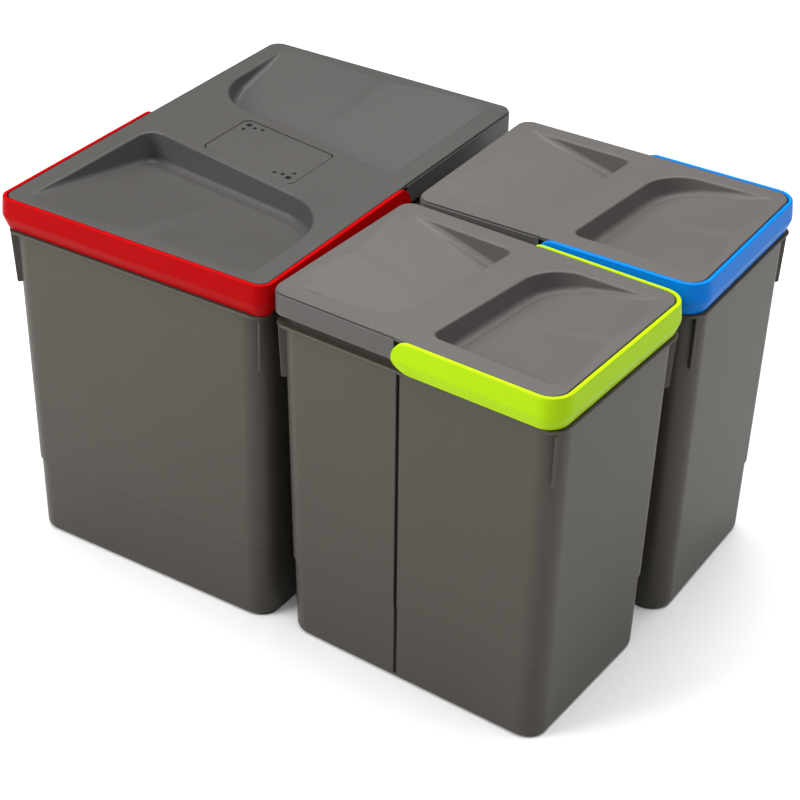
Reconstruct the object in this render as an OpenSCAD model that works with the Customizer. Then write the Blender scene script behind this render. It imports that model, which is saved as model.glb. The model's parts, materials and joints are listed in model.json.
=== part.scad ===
// Set of three lidded recycling bins: one large bin and two small ones.
// Each bin is a drafted container, a lift-off lid and a swinging bail handle.
// +Z is up and z = 0 is the floor. The origin is the middle of the large bin's base.
// Every bin is modelled about its own middle, with its handle bar on the -Y side.

/* [Overall sizes] */
// Height of a closed bin, floor to lid top
bin_h = 266; // [220:1:320]
// Large bin, across its handle bar
large_w = 210; // [175:1:255]
// Large bin, handle bar to back
large_d = 311; // [260:1:375]
// Small bin, across its handle bar
small_w = 146; // [121:1:176]
// Small bin, handle bar to back
small_d = 210; // [175:1:255]
// Plan radius of lid and handle corners
corner_r = 10; // [8:0.5:14]

/* [Container] */
// Wall thickness
wall = 2; // [1.5:0.1:2.5]
// Thickness of the bottom
floor_t = 2.4; // [1.8:0.1:3.5]
// How far the wall under the rim stands in from the lid outline
wall_inset = 2.7; // [2:0.1:3.5]
// Lean of the large bin's walls, rim to base
large_lean = 1.1; // [0.5:0.1:4]
// Lean of the small bins' walls, rim to base
small_lean = 3.2; // [0.5:0.1:5]
// Plan radius of the container's corners
body_r = 15; // [13:0.5:20]
// Rounding of the bottom edge
foot_r = 4; // [2:0.5:6]
// Height of the stepped plinth line
plinth_h = 60; // [40:1:75]
// How far the plinth steps in
plinth_step = 0.7; // [0.4:0.1:1.2]

/* [Rim] */
// Depth of the rim flange's top face below the lid top
rim_drop = 23.4; // [21:0.1:28]
// Thickness of the rim flange
rim_t = 2.1; // [1.6:0.1:3]
// How far the rim flange stands in from the lid outline
rim_inset = 0.5; // [0.2:0.1:1.5]
// Thickness of the upright collar inside the lid
collar_t = 2; // [1.5:0.1:2.5]
// Clearance between collar and lid skirt
collar_gap = 0.5; // [0.3:0.1:1]

/* [Corner fins and side channels] */
// Depth of the fins' lower ends below the lid top
fin_drop = 64; // [50:1:80]
// Thickness of a corner fin
fin_t = 1.8; // [1.2:0.1:2.5]
// How far a fin's outer edge leans in over its height
fin_lean = 1.6; // [0.5:0.1:2.5]
// Distance of the side channel behind the handle pivot
channel_y = 10; // [6:0.5:16]
// Width of the side channel
channel_w = 2.3; // [1.6:0.1:4]
// Depth of the side channel below the wall's foot
channel_depth = 1.6; // [1:0.1:2.5]

/* [Lid] */
// Thickness of the lid's top
lid_t = 2.2; // [1.6:0.1:3]
// Height of the lid skirt
skirt_h = 15.8; // [12:0.1:18]
// Thickness of the full-width skirt
skirt_t = 1.6; // [1.2:0.1:2.2]
// Thickness of the skirt inside the handle
inner_skirt_t = 1.4; // [1:0.1:1.8]
// Rest clearance between lid and collar
lid_gap = 0.2; // [0.1:0.05:0.5]

/* [Finger scoops] */
// Depth of the large lid's scoops at the bridge
large_scoop = 20; // [14:0.5:22]
// Depth of the small lids' scoops at the bridge
small_scoop = 17; // [12:0.5:22]
// Half width of the large lid's bridge
large_bridge = 32.5; // [30:0.5:38]
// Half width of the small lids' bridge
small_bridge = 12; // [9:0.5:16]
// Distance of the small bridge's middle behind the lid's middle
small_shift = 3.9; // [0:0.1:5]
// Slant of the large bridge, in degrees
large_slant = 10.4; // [6:0.1:12]
// Slant of the small bridge, in degrees
small_slant = 5.2; // [2:0.1:9]
// Large plan radius of the large lid's scoops
large_sweep = 50; // [30:1:55]
// Large plan radius of the small lids' scoops
small_sweep = 32; // [20:1:36]
// Tight plan radius of the scoops
scoop_r = 9; // [6:0.5:12]
// Distance of a scoop's side from the lid edge, at the bridge
scoop_side = 17; // [16:0.5:24]
// How much nearer the edge the side comes at the shallow end
scoop_flare = 3; // [0:0.5:4]
// Distance of a scoop's shallow end from the lid edge
scoop_end = 13.5; // [13:0.5:20]
// Wall thickness of the scoops
scoop_wall = 1.8; // [1.4:0.1:2.2]

/* [Handle] */
// Height of the handle strip
handle_h = 22.5; // [18:0.5:26]
// Thickness of the strip at its top edge
handle_t = 2.8; // [2.4:0.1:3.2]
// How far the arms stand out from the bin outline
arm_out = 2.7; // [1:0.1:3]
// How far the bar stands in from the bin outline
bar_in = 0.4; // [0:0.1:2]
// Plan radius of the large handle's corners
large_handle_r = 10; // [9:0.5:16]
// Plan radius of the small handles' corners
small_handle_r = 15; // [9:0.5:18]
// How far the ridge stands out from the top edge
ridge_out = 1.4; // [0.8:0.1:2]
// Depth of the ridge below the top edge
ridge_drop = 13.2; // [9:0.1:15]
// How far the bottom edge stands in from the top edge
foot_in = 1.9; // [1:0.1:2.2]
// Clearance between the handle bar and the lid
handle_gap = 1.8; // [0.5:0.1:2.4]
// Clearance between the handle arms and the lid
arm_gap = 0.4; // [0.3:0.1:1]
// Radius of the pivot stud
stud_r = 3; // [2.5:0.1:4]
// Running clearance of the stud, on the radius
stud_gap = 0.05; // [0.02:0.01:0.1]
// Thickness of the boss inside the collar, around the bore
boss_t = 1.2; // [0.8:0.1:2]

/* [Filter] */
// Half length of the filter cover
cover_x = 41; // [34:0.5:52]
// Half width of the filter cover
cover_y = 26; // [22:0.5:28]
// Slant of the filter cover's long sides, in degrees
cover_slant = 9; // [5:0.1:10.5]
// Plan radius of the filter cover
cover_r = 5; // [3:0.5:7]
// Thickness of the filter cover
cover_t = 2; // [1.4:0.1:2.4]
// Gap round the filter cover
cover_gap = 0.5; // [0.3:0.1:0.8]
// Width of the ledge that carries the cover
ledge_w = 2.2; // [1.5:0.1:3]
// Depth of the pad well below the ledge
well_depth = 10; // [7:0.5:14]
// Radius of the large vent holes
big_vent_r = 2.4; // [1.6:0.1:2.6]
// Radius of the small vent holes
small_vent_r = 1.6; // [1:0.1:1.8]

/* [Layout] */
// Sideways gap from the large bin to the front bin's near corner
front_gap = 4.3; // [3:0.1:20]
// Setback of the front bin's near corner from the large bin's front
front_setback = 2.9; // [0:0.1:20]
// Turn of the front bin, in degrees
front_turn = -2.9; // [-4:0.1:0]
// Sideways gap from the large bin to the back bin
back_gap = 14; // [4:0.5:30]
// Gap between the two small bins at their near corners
row_gap = 5.3; // [4:0.1:20]

/* [Hidden] */
large_colour = [0.40, 0.385, 0.36];
lid_colour = [0.47, 0.46, 0.445];
red = [0.78, 0.02, 0.05];
green = [0.70, 0.92, 0.08];
blue = [0.05, 0.48, 0.85];
black = [0.09, 0.09, 0.09];
arc_steps = 8;
eps = 0.01;
over = 1;
big = 600;

lip_z = bin_h - rim_drop;
ledge_z = lip_z - rim_t;
pivot_z = bin_h - handle_h / 2;
arm_r = handle_h / 2;
lid_bottom_z = bin_h - skirt_h;
collar_top_z = bin_h - lid_t - lid_gap;
bay = bar_in + handle_t + handle_gap;
side_bay = max(handle_t - arm_out, 0) + arm_gap;
widen = 2 * (bay - side_bay);
collar_out = bay + inner_skirt_t + collar_gap;
collar_in = collar_out + collar_t;
stud_end = collar_in + boss_t;
step_y = arm_r + 0.4;
notch_gap = 0.6;
boss_r = stud_r + 2.4;
cover_z = bin_h - cover_t - lid_gap;
well_z = cover_z - well_depth;
well_wall = 1.6;
well_floor_t = 1.5;
pad_gap = 0.5;
vent_slots = 9;
vent_slot_w = 3;
slot_margin = 7;

// Points of a quarter arc or less, anticlockwise
function arc(centre, r, from, to) =
  [for (i = [0:arc_steps]) let (a = from + (to - from) * i / arc_steps) centre + r * [cos(a), sin(a)]];

// Outline of a rectangle w by d with rounded corners
function rounded(w, d, r) = [
  for (k = [0:3])
    let (sx = (k == 0 || k == 3) ? 1 : -1, sy = k < 2 ? 1 : -1)
      each arc([sx * (w / 2 - r), sy * (d / 2 - r)], r, 90 * k, 90 * k + 90)
];

// Diagonal distance from a sharp corner to a rounded one that stands in by inset
function corner_depth(inset, r) = inset * sqrt(2) + r * (sqrt(2) - 1);

// A rounded plate that stands in from the bin outline by inset
module plate(w, d, inset, r, z0, z1) {
  translate([0, 0, z0]) linear_extrude(z1 - z0) polygon(rounded(w - 2 * inset, d - 2 * inset, r));
}

// One thin section of a drafted body
module section(w, d, inset, r, z) {
  plate(w, d, inset, r, z, z + eps);
}

// Outer form of the container below the rim, with its stepped plinth
module body_outside(w, d, lean) {
  above = wall_inset + lean * (ledge_z - plinth_h) / ledge_z;
  below = above + plinth_step;
  hull() {
    section(w, d, wall_inset, body_r, ledge_z);
    section(w, d, above, body_r, plinth_h);
    section(w, d, below, body_r, plinth_h - 1.5);
  }
  hull() {
    section(w, d, below, body_r, plinth_h - 1.5);
    section(w, d, wall_inset + lean + plinth_step, body_r, foot_r);
    section(w, d, wall_inset + lean + plinth_step + foot_r * 0.3, body_r, foot_r * 0.3);
    section(w, d, wall_inset + lean + plinth_step + foot_r, body_r, 0);
  }
}

// Inner form of the container below the rim
module body_inside(w, d, lean) {
  foot = wall_inset + lean + plinth_step + wall;
  hull() {
    section(w, d, wall_inset + wall, body_r - wall, ledge_z - eps);
    section(w, d, foot, body_r - wall, floor_t + foot_r);
    section(w, d, foot + foot_r, body_r - wall, floor_t);
  }
}

// Upright fin on the diagonal of one corner
module corner_fin(w, d) {
  lip = corner_depth(rim_inset, corner_r) + 0.3;
  root = corner_depth(wall_inset, body_r) + 1.2;
  translate([w / 2, d / 2, 0]) rotate([90, 0, 45]) translate([0, 0, -fin_t / 2])
    linear_extrude(fin_t) polygon([
      [-root, ledge_z + eps], [-root - fin_lean / 4, bin_h - fin_drop],
      [-lip - fin_lean, bin_h - fin_drop], [-lip, ledge_z + eps]
    ]);
}

// Container: drafted tub, rim flange, upright collar with pivot bores, fins and channels
module container(w, d, lean) {
  channel_foot = wall_inset + lean + plinth_step + channel_depth;
  difference() {
    union() {
      difference() {
        union() {
          body_outside(w, d, lean);
          for (sx = [0, 1], sy = [0, 1]) mirror([sx, 0, 0]) mirror([0, sy, 0]) corner_fin(w, d);
        }
        difference() {
          body_inside(w, d, lean);
          for (side = [-1, 1])
            translate([side * (w / 2 - channel_foot - wall + big / 2), channel_y, 0])
              cube([big, channel_w + 2 * wall, 2 * ledge_z], center = true);
        }
      }
      difference() {
        plate(w, d, rim_inset, corner_r, ledge_z, lip_z);
        plate(w, d, collar_in, corner_r, ledge_z - over, lip_z + over);
      }
      difference() {
        plate(w, d, collar_out, corner_r, ledge_z, collar_top_z);
        plate(w, d, collar_in, corner_r, ledge_z - over, collar_top_z + over);
      }
      for (side = [-1, 1])
        translate([side * (w / 2 - stud_end), 0, pivot_z]) rotate([0, side * 90, 0])
          cylinder(h = boss_t + collar_t / 2, r = boss_r, $fn = 48);
    }
    for (side = [-1, 1]) {
      translate([side * (w / 2 - channel_foot + big / 2), channel_y, (ledge_z + foot_r) / 2 - over])
        cube([big, channel_w, ledge_z - foot_r + 2 * over - 2 * eps], center = true);
      translate([side * (w / 2 - stud_end - over), 0, pivot_z]) rotate([0, side * 90, 0])
        cylinder(h = stud_end - collar_out + 2 * over, r = stud_r + stud_gap, $fn = 48);
    }
  }
}

// Outline of the front scoop, grown by g. The bridge line falls to the right by slant.
function scoop(w, d, bridge, slant, sweep, g) =
  let (
    s = tan(slant), k = 1 / cos(slant),
    left = -w / 2 + scoop_side - g, right = w / 2 - scoop_side + g,
    near = scoop_r + g, far = sweep + g,
    edge = function (x) -bridge - s * x + g * k,
    a = [left + near, edge(left + near) - near * k],
    b = [right - far, edge(right - far) - far * k],
    end_y = -d / 2 + scoop_end - g
  )
  concat(
    [[right + scoop_flare, end_y]],
    arc(b, far, 0, 90 - slant),
    arc(a, near, 90 - slant, 180),
    [[left - scoop_flare, end_y]]
  );

// Cuts or fills one scoop: the outline, down to a floor that falls from the shallow end
module scoop_form(w, d, bridge, slant, sweep, depth, g) {
  start = -d / 2 + scoop_end;
  fall = depth / (-bridge - start);
  reach = -start;
  intersection() {
    translate([0, 0, bin_h - 2 * depth]) linear_extrude(2 * depth + (g > 0 ? 0 : over))
      polygon(scoop(w, d, bridge, slant, sweep, g));
    rotate([90, 0, 90]) translate([0, 0, -w / 2]) linear_extrude(w) polygon([
      [start - g, bin_h - (g > 0 ? g : 0)], [start - g, bin_h + (g > 0 ? -eps : over)],
      [start + reach, bin_h + (g > 0 ? -eps : over)], [start + reach, bin_h - fall * reach - g],
      [start, bin_h - g]
    ]);
  }
}

// The two scoops of a lid, the rear one turned half round
module scoops(w, d, bridge, shift, slant, sweep, depth, g) {
  scoop_form(w, d, bridge - shift, slant, sweep, depth, g);
  rotate([0, 0, 180]) scoop_form(w, d, bridge + shift, slant, sweep, depth, g);
}

// Full-width rear half of the lid plan, from y0 backwards
module rear_half(w, d, inset, r, z0, z1, y0) {
  intersection() {
    plate(w, d, inset, r, z0, z1);
    translate([-w, y0, z0 - over]) cube([2 * w, d, z1 - z0 + 2 * over]);
  }
}

// Lid shell: flat top, stepped skirt, stud notches and two ramped scoops. A child adds to it.
module lid_shell(w, d, front_r, bridge, shift, slant, sweep, depth) {
  under = bin_h - lid_t;
  notch_top = pivot_z + stud_r + notch_gap;
  difference() {
    union() {
      difference() {
        union() {
          plate(w + widen, d, bay, front_r, lid_bottom_z, bin_h);
          rear_half(w, d, 0, corner_r, lid_bottom_z, bin_h, step_y);
        }
        plate(w + widen, d, bay + inner_skirt_t, front_r - inner_skirt_t, lid_bottom_z - over, under);
        rear_half(w, d, skirt_t, corner_r - skirt_t, lid_bottom_z - over, under, step_y + skirt_t);
        for (side = [-1, 1])
          translate([side * (w / 2 - side_bay - inner_skirt_t / 2), 0, (lid_bottom_z - over + notch_top) / 2])
            cube([inner_skirt_t + over, 2 * (stud_r + notch_gap), notch_top - lid_bottom_z + over], center = true);
      }
      scoops(w, d, bridge, shift, slant, sweep, depth, scoop_wall);
      children();
    }
    scoops(w, d, bridge, shift, slant, sweep, depth, 0);
  }
}

// Outline of the filter cover, grown by g: its long sides fall to the right
function cover_outline(g) =
  let (s = tan(cover_slant), x = cover_x + g, y = cover_y + g, r = cover_r + g)
  [
    for (k = [0:3])
      let (sx = (k == 0 || k == 3) ? 1 : -1, sy = k < 2 ? 1 : -1)
        for (p = arc([sx * (x - r), sy * (y - r)], r, 90 * k, 90 * k + 90)) [p.x, p.y - s * p.x]
  ];

// One cluster of vent holes, from the cover's middle: [x, y, radius]
vents = [
  [cover_x - 6.7, 0.8 - cover_y, big_vent_r], [cover_x - 6.7, 8 - cover_y, small_vent_r],
  [cover_x - 12.9, 3 - cover_y, small_vent_r], [cover_x - 18.9, 2.1 - cover_y, small_vent_r]
];

module prism(points, z0, z1) {
  translate([0, 0, z0]) linear_extrude(z1 - z0) polygon(points);
}

module large_container() {
  color(large_colour) container(large_w, large_d, large_lean);
}

module large_lid() {
  slot_run = 2 * (cover_y - ledge_w - slot_margin);
  slot_step = 2 * (cover_x - ledge_w - slot_margin) / (vent_slots - 1);
  color(lid_colour) difference() {
    lid_shell(large_w, large_d, large_handle_r - 3, large_bridge, 0, large_slant, large_sweep, large_scoop)
      prism(cover_outline(cover_gap + well_wall), well_z - well_floor_t, bin_h - eps);
    prism(cover_outline(cover_gap), cover_z, bin_h + over);
    prism(cover_outline(-ledge_w), well_z, bin_h);
    for (i = [0:vent_slots - 1])
      let (x = (i - (vent_slots - 1) / 2) * slot_step)
        translate([x, -tan(cover_slant) * x, well_z - well_floor_t / 2])
          cube([vent_slot_w, slot_run, well_floor_t + 2 * over], center = true);
  }
}

module filter_cover() {
  color(lid_colour) difference() {
    prism(cover_outline(0), cover_z + lid_gap, bin_h);
    for (a = [0, 180], v = vents)
      rotate([0, 0, a]) translate([v.x, v.y, bin_h - cover_t - over])
        cylinder(h = cover_t + 2 * over, r = v.z, $fn = 32);
  }
}

module filter_pad() {
  color(black) prism(cover_outline(-ledge_w - pad_gap), well_z + lid_gap, cover_z - pad_gap + lid_gap);
}

// Section of the handle strip: x is the offset outwards from the bin outline, y the height
handle_section = [
  [-handle_t, -handle_h], [-foot_in, -handle_h], [ridge_out, -ridge_drop],
  [0.1, -0.6], [-0.5, 0], [-handle_t, 0]
];

// Bail handle: bar, two corners, two arms with round ends, and the pivot studs
module bail(bin_w, bin_d, r) {
  w = bin_w + 2 * arm_out;
  d = bin_d - 2 * bar_in;
  arm = d / 2 - r;
  translate([0, 0, bin_h]) {
    translate([-(w / 2 - r), -d / 2, 0]) rotate([90, 0, 90])
      linear_extrude(w - 2 * r) mirror([1, 0]) polygon(handle_section);
    for (side = [-1, 1])
      translate([side * (w / 2 - r), -arm, 0]) rotate([0, 0, side > 0 ? -90 : 180])
        rotate_extrude(angle = 90, $fn = 96) translate([r, 0]) polygon(handle_section);
  }
  for (side = [0, 1]) mirror([side, 0, 0]) {
    intersection() {
      translate([w / 2, arm_r, bin_h]) rotate([90, 0, 0])
        linear_extrude(arm + arm_r) polygon(handle_section);
      union() {
        translate([w / 2 - 2 * handle_t, 0, pivot_z]) rotate([0, 90, 0])
          cylinder(h = 4 * handle_t, r = arm_r, $fn = 96);
        translate([w / 2 - 2 * handle_t, -d, bin_h - handle_h - over])
          cube([4 * handle_t, d, handle_h + 2 * over]);
      }
    }
    translate([bin_w / 2 - stud_end, 0, pivot_z]) rotate([0, 90, 0])
      cylinder(h = stud_end + arm_out - handle_t / 2, r = stud_r, $fn = 48);
  }
}

module large_handle() {
  color(red) bail(large_w, large_d, large_handle_r);
}

// Places a small bin by its near corner, with its handle bar towards +X
module at_corner(x, y, turn) {
  translate([x, y, 0]) rotate([0, 0, turn]) translate([small_d / 2, small_w / 2, 0])
    rotate([0, 0, 90]) children();
}

module front_place() {
  at_corner(large_w / 2 + front_gap, -large_d / 2 + front_setback, front_turn) children();
}

module back_place() {
  at_corner(large_w / 2 + back_gap, -large_d / 2 + front_setback + small_w + row_gap, 0) children();
}

module small_container() {
  color(large_colour) container(small_w, small_d, small_lean);
}

module small_lid() {
  color(lid_colour)
    lid_shell(small_w, small_d, small_handle_r - 3, small_bridge, small_shift, small_slant, small_sweep, small_scoop);
}

module front_container() {
  front_place() small_container();
}

module front_lid() {
  front_place() small_lid();
}

module front_handle() {
  color(green) front_place() bail(small_w, small_d, small_handle_r);
}

module back_container() {
  back_place() small_container();
}

module back_lid() {
  back_place() small_lid();
}

module back_handle() {
  color(blue) back_place() bail(small_w, small_d, small_handle_r);
}

large_container();
large_lid();
large_handle();
filter_cover();
filter_pad();
front_container();
front_lid();
front_handle();
back_container();
back_lid();
back_handle();
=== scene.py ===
"""Looks for a set of three lidded sorting bins: one large bin and two small ones.

Every mesh is built about its own bin's middle, with the handle bar on the -Y side, in millimetres.
A Placing then takes it to the shared frame, in metres.
"""

from __future__ import annotations

import json
import logging
import math
from collections.abc import Callable, Iterable, Sequence
from dataclasses import dataclass, replace
from enum import Enum

import bmesh
import bpy
from mathutils import Matrix, Vector

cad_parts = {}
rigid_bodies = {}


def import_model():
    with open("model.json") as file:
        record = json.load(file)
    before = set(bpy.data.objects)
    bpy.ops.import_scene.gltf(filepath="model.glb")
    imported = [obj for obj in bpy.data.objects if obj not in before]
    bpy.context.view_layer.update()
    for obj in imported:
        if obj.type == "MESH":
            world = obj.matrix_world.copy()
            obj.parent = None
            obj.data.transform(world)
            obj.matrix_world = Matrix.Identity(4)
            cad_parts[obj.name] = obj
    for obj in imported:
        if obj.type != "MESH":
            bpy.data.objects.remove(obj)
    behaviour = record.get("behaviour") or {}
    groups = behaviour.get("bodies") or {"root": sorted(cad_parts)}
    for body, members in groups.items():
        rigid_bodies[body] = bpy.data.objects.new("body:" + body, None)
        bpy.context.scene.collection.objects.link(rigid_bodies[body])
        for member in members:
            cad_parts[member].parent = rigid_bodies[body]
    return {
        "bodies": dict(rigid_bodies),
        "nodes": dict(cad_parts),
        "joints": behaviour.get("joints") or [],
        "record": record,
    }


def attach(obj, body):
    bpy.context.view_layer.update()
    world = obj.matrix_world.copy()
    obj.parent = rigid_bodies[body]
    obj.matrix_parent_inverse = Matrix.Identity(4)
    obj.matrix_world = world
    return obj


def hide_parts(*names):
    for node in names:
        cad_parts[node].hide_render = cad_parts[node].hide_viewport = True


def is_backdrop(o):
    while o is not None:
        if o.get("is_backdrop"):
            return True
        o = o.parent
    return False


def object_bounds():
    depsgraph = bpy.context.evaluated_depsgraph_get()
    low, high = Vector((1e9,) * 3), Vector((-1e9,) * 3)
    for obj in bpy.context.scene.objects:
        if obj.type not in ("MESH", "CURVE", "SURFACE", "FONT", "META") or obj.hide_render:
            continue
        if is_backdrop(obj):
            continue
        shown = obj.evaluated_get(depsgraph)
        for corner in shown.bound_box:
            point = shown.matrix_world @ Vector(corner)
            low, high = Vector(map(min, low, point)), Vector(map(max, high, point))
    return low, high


LOG = logging.getLogger("bins")
MM = 0.001

Point2 = tuple[float, float]
Point3 = tuple[float, float, float]
Spot = tuple[Point3, float, float]
Box = Sequence[Sequence[float]]

FLOOR_HALF = 6.0
WELD = 0.004
QUARTERS = ((1, 1), (-1, 1), (-1, -1), (1, -1))


# ---------------------------------------------------------------------------------------------
# Node trees and shader maths
# ---------------------------------------------------------------------------------------------


class Tree:
    """A node tree, with one way to add any node."""

    def __init__(self, tree: bpy.types.NodeTree) -> None:
        """Keep the tree that new nodes go into."""
        self.tree = tree

    def node(
        self,
        kind: str,
        settings: dict[str, object] | None = None,
        inputs: dict[int | str, object] | None = None,
    ) -> bpy.types.Node:
        """Add a node, set it up, then give its sockets values or links.

        Args:
            kind: The node's type.
            settings: Attributes of the node, set first.
            inputs: Socket index or name to a number, a colour, a Value or a socket.

        Returns:
            The new node.
        """
        node = self.tree.nodes.new(kind)
        for key, value in (settings or {}).items():
            setattr(node, key, value)
        for key, value in (inputs or {}).items():
            source = value.socket if isinstance(value, Value) else value
            if isinstance(source, bpy.types.NodeSocket):
                self.tree.links.new(source, node.inputs[key])
            else:
                node.inputs[key].default_value = source
        return node


class Value:
    """A shader socket that can be added, scaled and compared as a number."""

    def __init__(self, graph: Graph, socket: bpy.types.NodeSocket) -> None:
        """Keep the socket and the graph that new nodes go into."""
        self.graph = graph
        self.socket = socket

    def _math(self, operation: str, first: object, second: object) -> Value:
        """Add one Math node.

        Args:
            operation: The Math node's operation.
            first: A number or a Value.
            second: A number or a Value.

        Returns:
            The node's result.
        """
        node = self.graph.node("ShaderNodeMath", {"operation": operation}, {0: first, 1: second})
        return Value(self.graph, node.outputs[0])

    def __add__(self, other: object) -> Value:
        """Sum."""
        return self._math("ADD", self, other)

    __radd__ = __add__

    def __sub__(self, other: object) -> Value:
        """Difference."""
        return self._math("SUBTRACT", self, other)

    def __rsub__(self, other: object) -> Value:
        """Difference from a number."""
        return self._math("SUBTRACT", other, self)

    def __mul__(self, other: object) -> Value:
        """Product."""
        return self._math("MULTIPLY", self, other)

    __rmul__ = __mul__

    def __truediv__(self, other: object) -> Value:
        """Quotient."""
        return self._math("DIVIDE", self, other)

    def clamped(self, low: float = 0.0, high: float = 1.0) -> Value:
        """Limit to a range."""
        return self._math("MINIMUM", self._math("MAXIMUM", self, low), high)

    def rise(self, start: float, end: float) -> Value:
        """Ramp from 0 at start to 1 at end."""
        return ((self - start) / (end - start)).clamped()


class Graph(Tree):
    """A material's node tree."""

    def __init__(self, name: str) -> None:
        """Start an empty material."""
        self.material = bpy.data.materials.new(name)
        self.material.use_nodes = True
        super().__init__(self.material.node_tree)
        self.tree.nodes.clear()

    def place(self) -> bpy.types.NodeSocket:
        """Object coordinates, in metres."""
        return self.node("ShaderNodeTexCoord").outputs["Object"]

    def stretched(self, scale: Point3) -> bpy.types.NodeSocket:
        """Object coordinates times a scale along each axis."""
        mapping = self.node("ShaderNodeMapping", None, {"Vector": self.place(), "Scale": scale})
        return mapping.outputs["Vector"]

    def noise(
        self, scale: float, detail: float = 2.0, where: object = None, seed: float = 0.0
    ) -> Value:
        """Noise of one value.

        Args:
            scale: Features per metre.
            detail: Octaves.
            where: The coordinates, or None for object coordinates.
            seed: A shift along the fourth dimension.

        Returns:
            The noise, about 0.5.
        """
        node = self.node(
            "ShaderNodeTexNoise",
            {"noise_dimensions": "4D"},
            {"Vector": where or self.place(), "W": seed, "Scale": scale, "Detail": detail},
        )
        return Value(self, node.outputs["Fac"])

    def height(self) -> Value:
        """Height above the surface that the object stands on, in metres."""
        node = self.node("ShaderNodeSeparateXYZ", None, {0: self.place()})
        return Value(self, node.outputs["Z"])

    def blend(
        self, amount: Value, low: Sequence[float], high: Sequence[float]
    ) -> bpy.types.NodeSocket:
        """Mix two colours by an amount."""
        sockets = {0: amount, 6: [*low, 1], 7: [*high, 1]}
        return self.node("ShaderNodeMix", {"data_type": "RGBA"}, sockets).outputs[2]

    def bump(self, layers: Iterable[tuple[Value, float]]) -> bpy.types.NodeSocket:
        """Chain bump layers.

        Args:
            layers: Pairs of a height and the depth in metres that it stands for.

        Returns:
            The normal of the last layer.
        """
        normal = None
        for height, depth in layers:
            inputs: dict[int | str, object] = {"Strength": 1.0, "Distance": depth, "Height": height}
            if normal is not None:
                inputs["Normal"] = normal
            normal = self.node("ShaderNodeBump", None, inputs).outputs["Normal"]
        return normal

    def surface(self, inputs: dict[int | str, object]) -> bpy.types.Material:
        """Close the graph with one principled surface."""
        shader = self.node("ShaderNodeBsdfPrincipled", None, inputs)
        self.node("ShaderNodeOutputMaterial", None, {"Surface": shader.outputs[0]})
        return self.material


@dataclass(frozen=True)
class MouldedPlastic:
    """Spark-eroded or polished injection-moulded polypropylene.

    Attributes:
        name: The material's name.
        colour: Linear colour.
        roughness: Mean roughness.
        grain: Height of the mould's fine texture, in metres.
        mottle: Share by which the tone drifts over the piece.
        foot_shade: Painted shade near the floor: the tone at the floor, as a share of the tone at
            the rim.
        specular: Level of the mirror-like light.
    """

    name: str
    colour: Point3
    roughness: float = 0.45
    grain: float = 0.00003
    mottle: float = 0.05
    foot_shade: float = 1.0
    specular: float = 0.22

    grain_per_metre = 1100.0
    scuff_per_metre = 160.0
    cloud_per_metre = 11.0
    flow_stretch = (30.0, 30.0, 6.0)
    flow_depth = 4
    # Height up to which the painted shade near the floor fades out.
    rim_height = 0.24
    refraction = 1.49

    def tone(self, graph: Graph) -> Value:
        """Painted shade near the floor: the tone at each height, from the foot's to 1 at the rim.
        """
        return graph.height().rise(0.0, self.rim_height) * (1 - self.foot_shade) + self.foot_shade

    def build(self) -> bpy.types.Material:
        """Make the material."""
        graph = Graph(self.name)
        grain = graph.noise(self.grain_per_metre, detail=3.0)
        cloud = graph.noise(self.cloud_per_metre, detail=3.0, seed=2.0)
        flow = graph.noise(1.0, detail=2.0, where=graph.stretched(self.flow_stretch), seed=5.0)
        scuff = graph.noise(self.scuff_per_metre, detail=4.0, seed=9.0).rise(0.62, 0.75)
        drift = (cloud * 0.6 + flow * 0.25 + grain * 0.15).rise(0.3, 0.7)
        dark = [c * (1 - self.mottle) for c in self.colour]
        light = [min(1.0, c * (1 + self.mottle)) for c in self.colour]
        # Scaled by the painted shade that darkens the piece towards the floor.
        shade = {0: graph.blend(drift, dark, light), "Scale": self.tone(graph)}
        shaded = graph.node("ShaderNodeVectorMath", {"operation": "SCALE"}, shade).outputs[0]
        roughness = self.roughness + (cloud - 0.5) * 0.10 + (grain - 0.5) * 0.06 + scuff * 0.05
        relief = [(grain, self.grain), (flow, self.grain * self.flow_depth)]
        return graph.surface(
            {
                "Base Color": shaded,
                "Roughness": roughness.clamped(0.05, 1.0),
                "Normal": graph.bump(relief),
                "IOR": self.refraction,
                "Specular IOR Level": self.specular,
            }
        )


@dataclass(frozen=True)
class Felt:
    """Needled charcoal felt.

    Attributes:
        name: The material's name.
        colour: Linear colour.
    """

    name: str = "filter_felt"
    colour: Point3 = (0.022, 0.022, 0.024)

    def build(self) -> bpy.types.Material:
        """Make the material."""
        graph = Graph(self.name)
        fibre = graph.noise(1.0, detail=4.0, where=graph.stretched((900.0, 260.0, 900.0)))
        cross = graph.noise(1.0, detail=4.0, where=graph.stretched((260.0, 900.0, 900.0)), seed=3.0)
        nap = fibre * 0.5 + cross * 0.5
        bright = [c * 2.6 for c in self.colour]
        return graph.surface(
            {
                "Base Color": graph.blend(nap.rise(0.35, 0.7), self.colour, bright),
                "Roughness": (nap * 0.2 + 0.8).clamped(),
                "Normal": graph.bump([(nap, 0.0006)]),
                "Sheen Weight": 0.4,
                "Sheen Roughness": 0.6,
            }
        )


class Finish(Enum):
    """The finishes of the set, by the name of their material slot."""

    CONTAINER = "container_plastic"
    # The two lid finishes are one lid plastic painted two ways: darker on the large lid as painted
    # shade, lighter on the small lids as painted light.
    LARGE_LID = "large_lid_plastic"
    SMALL_LID = "small_lid_plastic"
    RED = "red_plastic"
    GREEN = "green_plastic"
    BLUE = "blue_plastic"
    FELT = "filter_felt"

    @property
    def slot(self) -> str:
        """The record's material slot."""
        return "lid_plastic" if self.value.endswith("lid_plastic") else self.value


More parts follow.
